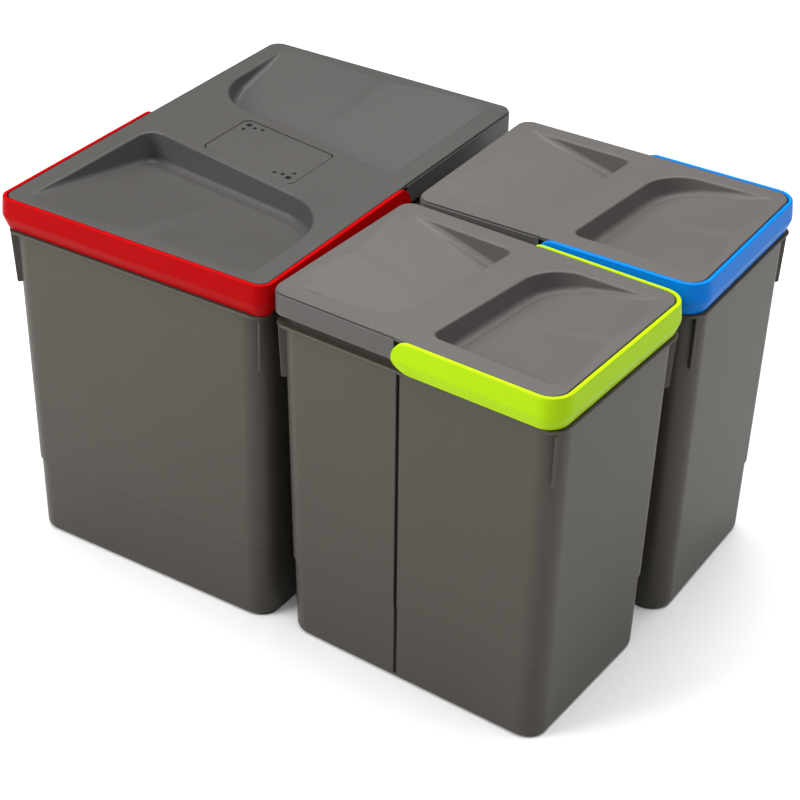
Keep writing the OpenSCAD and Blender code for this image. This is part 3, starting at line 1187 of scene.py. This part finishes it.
@dataclass
class Scoop:
    """A finger scoop in a lid's top, open towards the lid's edge.

    Attributes:
        half_width: Half the bin's width.
        half_depth: Half the bin's depth.
        bridge: Distance from the lid's middle to the bridge's edge.
        slant: Fall of the bridge's edge to the right, in degrees.
        sweep: Wide corner radius.
        tight: Tight corner radius.
        deep: Depth at the bridge.
        side: Distance of the scoop's side from the lid's edge.
        flare: How much nearer the side comes at the shallow end.
        end: Distance of the shallow end from the lid's edge.
        brow: Radius between the lid's top and the scoop's wall.
        hollow: Radius between the wall and the floor.
        wall_angle: Slope of the wall, in degrees.
        least_slope: Slope of the wall at the shallow end, as a share of the full slope.
        fade: Depth at which the wall has its full slope.
        arc_steps: Segments in the brow and in the hollow.
    """

    half_width: float
    half_depth: float
    bridge: float
    slant: float
    sweep: float
    tight: float
    deep: float
    side: float = 15.5
    flare: float = 1.5
    end: float = 13.5
    brow: float = 2.0
    hollow: float = 4.5
    wall_angle: float = 80.0
    least_slope: float = 0.35
    fade: float = 6.0
    arc_steps: int = 7

    def outline(self) -> Outline:
        """The scoop's upper edge."""
        fall = math.tan(math.radians(self.slant))
        left, right = self.side - self.half_width, self.half_width - self.side
        low = self.end - self.half_depth
        return Outline(
            (
                Corner(left - self.flare, low),
                Corner(right + self.flare, low),
                Corner(right, -self.bridge - fall * right, self.sweep),
                Corner(left, -self.bridge - fall * left, self.tight),
            ),
            steps=22,
            along=14,
        )

    def profile(self, point: Vector, inward: Vector) -> list[tuple[float, float]]:
        """The scoop's section at a point of its edge, from the brow to the floor.

        Args:
            point: A point of the upper edge.
            inward: The unit normal into the scoop.

        Returns:
            Pairs of a distance inwards and a depth.
        """
        start = self.end - self.half_depth
        grade = self.deep / (-self.bridge - start)
        slope = grade * inward.y
        here = max(0.0, grade * (point.y - start))
        floor = math.atan(slope)
        growth = self.least_slope + (1 - self.least_slope) * min(1.0, here / self.fade)
        steep = math.radians(self.wall_angle) * growth
        sine, cosine = math.sin(steep), math.cos(steep)
        along = self.brow * sine + self.hollow * (sine - math.sin(floor))
        down = self.brow * (1 - cosine) + self.hollow * (math.cos(floor) - cosine)
        straight = (here + slope * along - down) / (sine - slope * cosine)
        size = 1.0
        if straight < 0:
            straight = 0.0
            size = max(0.0, min(1.0, here / max(1e-6, down - slope * along)))
        brow, hollow = self.brow * size, self.hollow * size
        shares = [k / self.arc_steps for k in range(self.arc_steps + 1)]
        angles = [steep * share for share in shares]
        pairs = [(brow * math.sin(a), brow * (1 - math.cos(a))) for a in angles]
        out, low = pairs[-1]
        out, low = out + straight * cosine, low + straight * sine
        angles = [steep + (floor - steep) * share for share in shares]
        turns = [(sine - math.sin(a), math.cos(a) - cosine) for a in angles]
        return pairs + [(out + hollow * x, low + hollow * z) for x, z in turns]

    def rings(self, top: float, turned: bool) -> list[list[Point3]]:
        """Rings from the upper edge down to the floor.

        Args:
            top: Height of the lid's top.
            turned: Whether the scoop is turned half round, to the back of the lid.

        Returns:
            The rings, edge first.
        """
        sign = -1.0 if turned else 1.0
        samples = self.outline().samples()
        profiles = [self.profile(point, inward) for point, inward in samples]
        rings = []
        for k in range(len(profiles[0])):
            ring = []
            for (point, inward), pairs in zip(samples, profiles):
                place = point + inward * pairs[k][0]
                ring.append((sign * place.x, sign * place.y, top - pairs[k][1]))
            rings.append(ring)
        return rings


@dataclass
class FilterSeat:
    """The slanted opening in the large lid's bridge, with its cover and its pad.

    Attributes:
        half_x: Half the cover's length.
        half_y: Half the cover's width.
        slant: Fall of the long sides to the right, in degrees.
        radius: Plan radius of the corners.
        gap: Gap round the cover.
        cover_t: Thickness of the cover.
        ledge: Width of the ledge under it.
        well: Depth of the well under the ledge.
        top: Height of the lid's top.
        rest: Gap under the cover and under the pad.
        shelf: Width of the well's floor round its opening.
        slats: Gaps between the slats across the opening.
        slat_w: Width of a slat.
        slat_t: Thickness of a slat.
        wide_hole: Radius of the large vent holes.
        small_hole: Radius of the small vent holes.
        nap: Unevenness of the pad's top.
    """

    half_x: float = 41.0
    half_y: float = 26.0
    slant: float = 9.0
    radius: float = 5.0
    gap: float = 0.6
    cover_t: float = 2.0
    ledge: float = 2.2
    well: float = 10.0
    top: float = 266.0
    rest: float = 0.2
    shelf: float = 4.0
    slats: int = 10
    slat_w: float = 3.0
    slat_t: float = 1.4
    wide_hole: float = 2.3
    small_hole: float = 1.5
    nap: float = 0.25

    @property
    def fall(self) -> float:
        """Fall of the long sides for each millimetre to the right."""
        return math.tan(math.radians(self.slant))

    @property
    def seat_z(self) -> float:
        """Height of the ledge."""
        return self.top - self.cover_t - self.rest

    @property
    def floor_z(self) -> float:
        """Height of the well's floor."""
        return self.seat_z - self.well

    def outline(self, steps: int = 8) -> Outline:
        """The cover's outline."""
        return Outline.slanted(self.half_x, self.half_y, self.fall, self.radius, steps)

    def well_rings(self) -> list[list[Point3]]:
        """Rings from the lid's top down to the well's floor."""
        edge = self.outline()
        drops = [(-self.gap - 0.35, 0.0), (-self.gap - 0.1, 0.1), (-self.gap, 0.35)]
        levels = [(by, self.top - drop) for by, drop in drops]
        levels += [(-self.gap, self.seat_z), (self.ledge, self.seat_z)]
        levels += [(self.ledge, self.floor_z), (self.ledge + self.shelf, self.floor_z)]
        return [edge.inset(by).ring(z) for by, z in levels]

    def grille(self, lid: bpy.types.Object, material: bpy.types.Material) -> bpy.types.Object:
        """Lay slats across the opening in the well's floor."""
        reach = self.half_x - self.ledge - self.shelf
        places = [2 * reach * k / self.slats - reach for k in range(1, self.slats)]
        spots = [((x, -self.fall * x, self.floor_z), 0.0, 1.0) for x in places]
        long = self.half_y - self.ledge - self.shelf / 2
        plan = Outline.slanted(self.slat_w / 2, long, 0.0, 0.4, steps=2)
        bar = Shell()
        bar.capped([plan.ring(-self.slat_t), plan.ring(-0.3), plan.inset(0.3).ring(0.0)])
        bar.weld()
        return scattered(lid, bar.finished("slat"), spots, material, carve=False)

    def cover(self, name: str, material: bpy.types.Material) -> bpy.types.Object:
        """Make the cover: a flush plate with a bevelled back edge and two clusters of holes."""
        edge = self.outline(10)
        low = self.seat_z + self.rest
        back = 2
        shell = Shell()
        levels = [
            (0.3, 0.3, low),
            (0.0, 0.0, low + 0.3),
            (0.0, 0.0, self.top - 1.1),
            (0.0, 0.0, self.top - 0.6),
            (0.05, 0.4, self.top - 0.38),
            (0.2, 1.4, self.top - 0.15),
            (0.45, 2.5, self.top),
        ]
        rings = []
        for sides, rear, z in levels:
            shifts = [sides] * 4
            shifts[back] = rear
            rings.append(edge.inset(shifts).ring(z))
        made = shell.loft(rings)
        shell.fill([made[0]])
        shell.fill([made[-1]])
        shell.weld()
        plate = shell.finished(name)
        cluster = (
            (6.7, 0.8, self.wide_hole),
            (6.7, 8.0, self.small_hole),
            (12.9, 3.0, self.small_hole),
            (18.9, 2.1, self.small_hole),
        )
        spots = [
            ((sign * (self.half_x - x), sign * (y - self.half_y), 0.0), 0.0, radius)
            for sign in (-1, 1)
            for x, y, radius in cluster
        ]
        drill = Shell()
        drill.capped([[(x, y, z) for x, y in circle(1.0)] for z in (low - 2, self.top + 2)])
        drill.weld()
        return crisp(scattered(plate, drill.finished("drill"), spots, material, carve=True), 30)

    def pad(self, name: str) -> bpy.types.Object:
        """Make the felt pad, with soft edges and an uneven top."""
        edge = self.outline(8).inset(self.ledge + 0.6)
        low, high = self.floor_z + self.rest, self.seat_z - 0.4
        shell = Shell()
        rings = [edge.inset(inward).ring(high - down) for inward, down in quarter(2.0, 5)]
        under = [edge.inset(inward).ring(low + down) for inward, down in reversed(quarter(1.2, 4))]
        made = shell.loft(under + rings)
        shell.mesh.faces.new(made[0])
        inner = made[-1]
        for by in (4.0, 7.0, 10.0, 13.0, 16.0, 19.0):
            ring = shell.ring(
                (x, y, high - self.nap + self.nap * math.sin(x * 0.9) * math.cos(y * 0.8))
                for x, y, _ in edge.inset(by).ring(high)
            )
            shell.band(inner, ring)
            inner = ring
        shell.fill([inner])
        shell.weld()
        return crisp(shell.finished(name), 60)


@dataclass
class Lid(Piece):
    """The lid: stepped plan, soft upper edge, skirt, and two scoops that leave a bridge.

    Attributes:
        skirt: Depth of the skirt's lower edge below the top.
        shell_t: Thickness of the shell.
        edge: Radius of the upper edge.
        step_gap: Gap between the steps in the plan and the handle's ends.
        side_bay: How far the plate stands in between the handle's arms.
        recess: How far the skirt stands in between the handle's arms.
        plate_t: Thickness of the plate's edge.
        groove: How far the groove round the plate's edge goes in.
        groove_low: Depth of the groove's lower face below the top.
        groove_high: Depth of the groove's upper face below the top.
        groove_soft: Half the height of the groove's sloping faces.
        front_corner: Plan radius of the corners at the handle bar.
        notch: Half the width of the notches over the pivots.
        scoops: The near and the far scoop.
        seat: The filter's seat, if it has one.
        gate_mark: Where the mould's gate left its mark, if it shows.
    """

    skirt: float = 15.8
    shell_t: float = 1.45
    edge: float = 0.7
    step_gap: float = 0.4
    side_bay: float = 0.75
    recess: float = 3.0
    plate_t: float = 2.6
    groove: float = 1.3
    groove_low: float = 1.7
    groove_high: float = 0.9
    groove_soft: float = 0.05
    front_corner: float = 7.0
    notch: float = 3.6
    scoops: tuple[Scoop, ...] = ()
    seat: FilterSeat | None = None
    gate_mark: Point2 | None = None

    def outline(self, side: float, rear: float) -> Outline:
        """The lid's plan at one level.

        Args:
            side: How far it stands in between the handle's arms.
            rear: How far it stands in behind them.

        Returns:
            The outline, with the same corners at every level.
        """
        x, y = self.width / 2, self.depth / 2
        narrow, wide = x - side, x - rear
        step = self.handle_h / 2 + self.step_gap
        right = (
            Corner(narrow, self.bay - y, self.front_corner),
            Corner(narrow, -self.notch),
            Corner(narrow, self.notch),
            Corner(narrow, step),
            Corner(wide, step),
            Corner(wide, y - rear, self.corner - rear),
        )
        left = tuple(Corner(-c.x, c.y, c.radius) for c in reversed(right))
        return Outline(left[-1:] + right + left[:-1], steps=12)

    def surface(self) -> Shell:
        """Make the lid's outer surface, open underneath: skirt, ledge, groove and top plate."""
        shell = Shell()
        top = self.height
        under, low, high = top - self.plate_t, top - self.groove_low, top - self.groove_high
        soft, side = self.groove_soft, self.side_bay
        plate = side - 0.05
        levels = [
            (top - self.skirt, self.recess, 0.0),
            (self.pivot_z + self.notch, self.recess, 0.0),
            (under, self.recess, 0.0),
            (under, side, 0.0),
            (low - 0.25, side, 0.0),
            (low - soft, side, 0.2),
            (low + soft, side, self.groove),
            (high - soft, side, self.groove),
            (high + soft, side, plate),
        ]
        rings = [self.outline(near, rear).ring(z) for z, near, rear in levels]
        plan = self.outline(side, plate)
        rings += [plan.inset(inward).ring(top - down) for inward, down in quarter(self.edge, 5)]
        shell.loft(rings)
        for scoop, turned in zip(self.scoops, (False, True)):
            shell.fill([shell.loft(scoop.rings(top, turned))[-1]])
        if self.seat:
            shell.loft(self.seat.well_rings())
        if self.gate_mark:
            self.mark(shell, self.gate_mark)
        shell.merge()
        shell.close_flat(top)
        return shell

    def mark(self, shell: Shell, place: Point2) -> None:
        """Add the round mark that the mould's gate leaves on the bridge."""
        px, py = place
        levels = ((2.7, 0.0), (2.45, 0.16), (2.2, 0.16), (1.95, 0.03))
        rings = [
            [(px + x, py + y, self.height - drop) for x, y in circle(radius)]
            for radius, drop in levels
        ]
        shell.fill([shell.loft(rings)[-1]])

    def build(self, name: str, material: bpy.types.Material) -> bpy.types.Object:
        """Make the lid as one closed shell with a wall of even thickness."""
        shell = self.surface()
        shell.weld()
        high, out = self.pivot_z + self.notch, self.width / 2 - 6
        shell.drop(lambda c: abs(c.y) < self.notch and c.z < high and abs(c.x) > out)
        lid = shell.finished(name)
        wall = lid.modifiers.new("wall", "SOLIDIFY")
        wall.thickness = self.shell_t
        wall.offset = -1
        wall.use_even_offset = False
        wall.use_quality_normals = True
        applied(lid)
        if self.seat:
            lid = self.seat.grille(lid, material)
        return crisp(lid, 34)


# ---------------------------------------------------------------------------------------------
# Bins, studio and assembly
# ---------------------------------------------------------------------------------------------


@dataclass
class Bin:
    """One bin: where it stands, its pieces, and the names that the frame knows them by.

    Attributes:
        name: Start of the names of its pieces and bodies.
        materials: The material of each finish.
        placing: Where the bin stands.
        container: The tub.
        lid: The lid.
        handle: The bail.
        lid_finish: Finish of the lid.
        handle_finish: Finish of the bail.
    """

    name: str
    materials: Materials
    placing: Placing
    container: Container
    lid: Lid
    handle: Handle
    lid_finish: Finish
    handle_finish: Finish

    def dress(self, piece: bpy.types.Object, body: str, node: str, finish: Finish) -> None:
        """Place a piece, give it its finish and tell the frame what it stands for.

        Args:
            piece: The piece, in the bin's own millimetres.
            body: The body that it rides on.
            node: The node that it replaces.
            finish: Its finish.
        """
        piece.data.materials.clear()
        piece.data.materials.append(self.materials[finish])
        piece.data.polygons.foreach_set("material_index", [0] * len(piece.data.polygons))
        piece.data.transform(self.placing.matrix())
        piece.data.update()
        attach(piece, body)
        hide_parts(node)
        LOG.info("%s: %d faces on %s", piece.name, len(piece.data.polygons), body)

    def build(self) -> None:
        """Make and dress the bin's pieces."""
        container, lid, handle = (f"{self.name}_{kind}" for kind in ("container", "lid", "handle"))
        tub = self.container.build(f"{self.name}_tub", self.materials[Finish.CONTAINER])
        self.dress(tub, f"{self.name}_bin", container, Finish.CONTAINER)
        top = self.lid.build(f"{self.name}_top", self.materials[self.lid_finish])
        self.dress(top, lid, lid, self.lid_finish)
        bail = self.handle.build(f"{self.name}_bail")
        self.dress(bail, handle, handle, self.handle_finish)
        if self.lid.seat:
            cover = self.lid.seat.cover("vent_cover", self.materials[self.lid_finish])
            self.dress(cover, "filter", "filter_cover", self.lid_finish)
            pad = self.lid.seat.pad("felt_pad")
            self.dress(pad, "filter", "filter_pad", Finish.FELT)


@dataclass
class SetLayout:
    """The three bins and how they stand together, read from the frame's own joints.

    Attributes:
        frame: The frame.
        materials: The material of each finish.
        large_w: Large bin's outline along its handle bar.
        large_d: Large bin's outline from the handle bar to the back.
        small_w: Small bins' outline along their handle bar.
        small_d: Small bins' outline from the handle bar to the back.
        front_turn: Turn of the front bin out of line, in degrees.
    """

    frame: dict
    materials: Materials
    large_w: float = 210.0
    large_d: float = 311.0
    small_w: float = 146.0
    small_d: float = 210.0
    front_turn: float = -2.9

    def place_of(self, joint: str, turn: float) -> Placing:
        """The middle of a bin, from its handle's hinge."""
        hinge = next(j for j in self.frame["joints"] if j["name"] == joint)
        x, y, _ = hinge["pos_m"]
        return Placing(x / MM, y / MM, turn)

    def large(self) -> Bin:
        """The large bin, with the red bail and the filter."""
        half = {"half_width": self.large_w / 2, "half_depth": self.large_d / 2}
        scoop = Scoop(**half, bridge=32.5, slant=10.6, sweep=48.0, tight=13.0, deep=20.0)
        return Bin(
            "large",
            self.materials,
            self.place_of("large_handle_swing", 0.0),
            Container(self.large_w, self.large_d, lean=1.1),
            Lid(self.large_w, self.large_d, scoops=(scoop, scoop), seat=FilterSeat()),
            Handle(self.large_w, self.large_d, corner=10.0),
            Finish.LARGE_LID,
            Finish.RED,
        )

    def small(self, name: str, turn: float, finish: Finish) -> Bin:
        """A small bin, with its bail towards +X."""
        half = {"half_width": self.small_w / 2, "half_depth": self.small_d / 2}
        shared = {**half, "slant": 5.4, "sweep": 31.0, "tight": 8.0, "deep": 17.0}
        shared |= {"side": 14.0, "brow": 1.6}
        return Bin(
            name,
            self.materials,
            self.place_of(f"{name}_handle_swing", 90 + turn),
            Container(self.small_w, self.small_d, lean=3.2),
            Lid(
                self.small_w,
                self.small_d,
                scoops=(Scoop(**shared, bridge=8.1), Scoop(**shared, bridge=15.8)),
                front_corner=12.0,
                gate_mark=(-0.5, 3.0),
            ),
            Handle(self.small_w, self.small_d, corner=15.5),
            Finish.SMALL_LID,
            finish,
        )

    def bins(self) -> list[Bin]:
        """All three bins."""
        return [
            self.large(),
            self.small("front", self.front_turn, Finish.GREEN),
            self.small("back", 0.0, Finish.BLUE),
        ]


@dataclass(frozen=True)
class Softbox:
    """An area light that looks at the set.

    Attributes:
        place: Where it stands, in metres.
        size: Its side, in metres.
        power: Its power, in watts.
    """

    place: Point3
    size: float
    power: float

    def build(self, name: str, target: Vector) -> None:
        """Make the light and turn it to the target."""
        data = bpy.data.lights.new(name, "AREA")
        data.shape = "SQUARE"
        data.size = self.size
        data.energy = self.power
        light = linked(name, data)
        light.location = self.place
        light.rotation_euler = (target - light.location).to_track_quat("-Z", "Y").to_euler()


@dataclass(frozen=True)
class Studio:
    """A plain pale floor, soft lights and the camera.

    Attributes:
        azimuth: Turn of the view from +Y towards -X, in degrees.
        elevation: Height of the view, in degrees.
        roll: Turn of the picture, in degrees.
        distance: From the camera to the point that it looks at, in metres.
        lens: Focal length on a 36 mm sensor, in millimetres.
        aim: The point in the picture's middle, from the middle of the object's base, in metres.
        ambient: Strength of the light from all round.
        lights: The area lights.
    """

    azimuth: float = 31.82
    elevation: float = 33.30
    roll: float = 1.29
    distance: float = 1.5685
    lens: float = 91.5
    aim: Point3 = (-0.0597, 0.1016, 0.0282)
    ambient: float = 0.05
    lights: tuple[Softbox, ...] = (
        Softbox((-1.3, -1.7, 1.6), 1.3, 73.0),
        Softbox((0.2, 0.3, 2.4), 2.8, 142.0),
        Softbox((2.2, 0.1, 1.3), 1.2, 7.0),
    )

    def camera(self, bounds: Box) -> None:
        """Make the camera, from the object's box."""
        low, high = Vector(bounds[0]), Vector(bounds[1])
        base = Vector(((low.x + high.x) / 2, (low.y + high.y) / 2, 0.0))
        az, el, roll = (math.radians(a) for a in (self.azimuth, self.elevation, self.roll))
        forward = Vector((-math.sin(az) * math.cos(el), math.cos(az) * math.cos(el), -math.sin(el)))
        level = forward.cross(Vector((0, 0, 1))).normalized()
        upright = level.cross(forward)
        right = level * math.cos(roll) + upright * math.sin(roll)
        above = upright * math.cos(roll) - level * math.sin(roll)
        data = bpy.data.cameras.new("camera")
        data.lens = self.lens
        data.clip_start = 0.05
        made = linked("camera", data)
        place = base + Vector(self.aim) - forward * self.distance
        turn = Matrix((right, above, -forward)).transposed().to_4x4()
        made.matrix_world = Matrix.Translation(place) @ turn
        bpy.context.scene.camera = made

    def floor(self) -> None:
        """Make the floor."""
        shell = Shell()
        places = [(x * FLOOR_HALF, y * FLOOR_HALF, 0.0) for x, y in QUARTERS]
        shell.mesh.faces.new(shell.ring(places))
        floor = shell.finished("floor")
        graph = Graph("floor")
        tone = graph.blend(graph.noise(400.0), (0.72, 0.72, 0.72), (0.73, 0.73, 0.73))
        material = graph.surface({"Base Color": tone, "Roughness": 0.6})
        floor.data.materials.append(material)
        floor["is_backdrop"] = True

    def build(self, bounds: Box) -> None:
        """Make everything that isn't part of the object."""
        self.camera(bounds)
        self.floor()
        target = (Vector(bounds[0]) + Vector(bounds[1])) / 2
        target.z = 0.15
        for index, light in enumerate(self.lights):
            light.build(f"softbox_{index}", target)
        world = bpy.data.worlds.new("studio")
        world.use_nodes = True
        background = world.node_tree.nodes["Background"]
        background.inputs["Color"].default_value = (1, 1, 1, 1)
        background.inputs["Strength"].default_value = self.ambient
        bpy.context.scene.world = world
        bpy.context.scene.view_settings.view_transform = "Standard"


def plain(bounds: Box) -> list[list[float]]:
    """A box as plain lists of numbers."""
    return [[float(value) for value in corner] for corner in bounds]


def main() -> None:
    """Build the studio and the three bins."""
    logging.basicConfig(level=logging.INFO, format="%(message)s")
    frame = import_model()
    cad_box = plain(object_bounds())
    materials = {finish: recipe.build() for finish, recipe in RECIPES.items()}
    Studio().build(cad_box)
    for one in SetLayout(frame, materials).bins():
        one.build()


if __name__ == "__main__":
    main()
